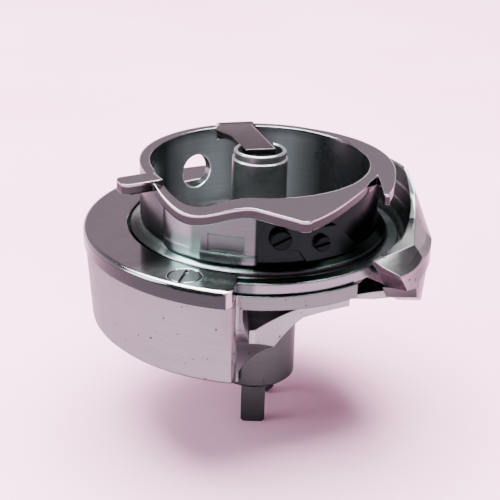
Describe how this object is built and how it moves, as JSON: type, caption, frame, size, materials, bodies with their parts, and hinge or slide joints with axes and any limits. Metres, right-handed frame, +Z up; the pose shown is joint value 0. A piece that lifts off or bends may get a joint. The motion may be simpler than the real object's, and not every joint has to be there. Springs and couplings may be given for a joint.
{
  "type": "rotary sewing hook with bobbin case basket",
  "caption": "Polished steel rotary hook carrying a latched bobbin case basket, with a hook point, a bolted retaining ring, a hollow bobbin post and a keyed drive stem.",
  "frame": {"origin": "centre of the shaft bore's mouth, in the end face of the stem", "axes": "+Z up the hook's axis, from the stem to the open top of the bobbin case; -Y towards the open throat; +X to the right of that, the side of the hook point"},
  "size_m": [0.0419, 0.0417, 0.0348],
  "materials": {
    "ground_steel": "hardened steel, fine ground with a polished point",
    "polished_steel": "hardened steel, bright polished",
    "screw_steel": "turned steel, lightly polished",
    "spring_steel": "rolled spring steel",
    "dark_steel": "black oxide",
    "felt": "pressed felt"
  },
  "bodies": {
    "hook": {"hook_body": "ground_steel", "retaining_gib": "polished_steel", "gib_screws": "screw_steel", "gib_pins": "screw_steel", "drive_tongue_wide": "dark_steel", "drive_tongue_narrow": "dark_steel", "stem_set_screws": "dark_steel", "hook_clamp_screw": "screw_steel", "clamp_washer": "screw_steel", "oil_wick": "felt"},
    "basket": {"bobbin_case_basket": "polished_steel", "centre_post": "polished_steel", "post_ring_nut": "screw_steel", "latch_hinge_pin": "screw_steel", "latch_spring": "spring_steel", "latch_spring_screw": "screw_steel", "tension_spring": "spring_steel", "tension_fixing_screw": "screw_steel", "bobbin_brake_spring": "spring_steel", "brake_rivets": "screw_steel"},
    "latch": {"latch_lever": "polished_steel"},
    "tension_screw": {"tension_adjusting_screw": "screw_steel"}
  },
  "joints": [
    {"name": "hook_rotation", "type": "hinge", "parent": "hook", "child": "basket", "pos_m": [0, 0, 0.0192], "axis": [0, 0, 1], "continuous": true},
    {"name": "latch_hinge", "type": "hinge", "parent": "basket", "child": "latch", "pos_m": [-0.00348, 0.01505, 0.02675], "axis": [-0.9744, -0.225, 0], "range_deg": [0, 100]},
    {"name": "tension_turn", "type": "hinge", "parent": "basket", "child": "tension_screw", "pos_m": [0.00686, -0.01291, 0.0233], "axis": [0.4695, -0.8829, 0], "range_deg": [-180, 180]}
  ]
}
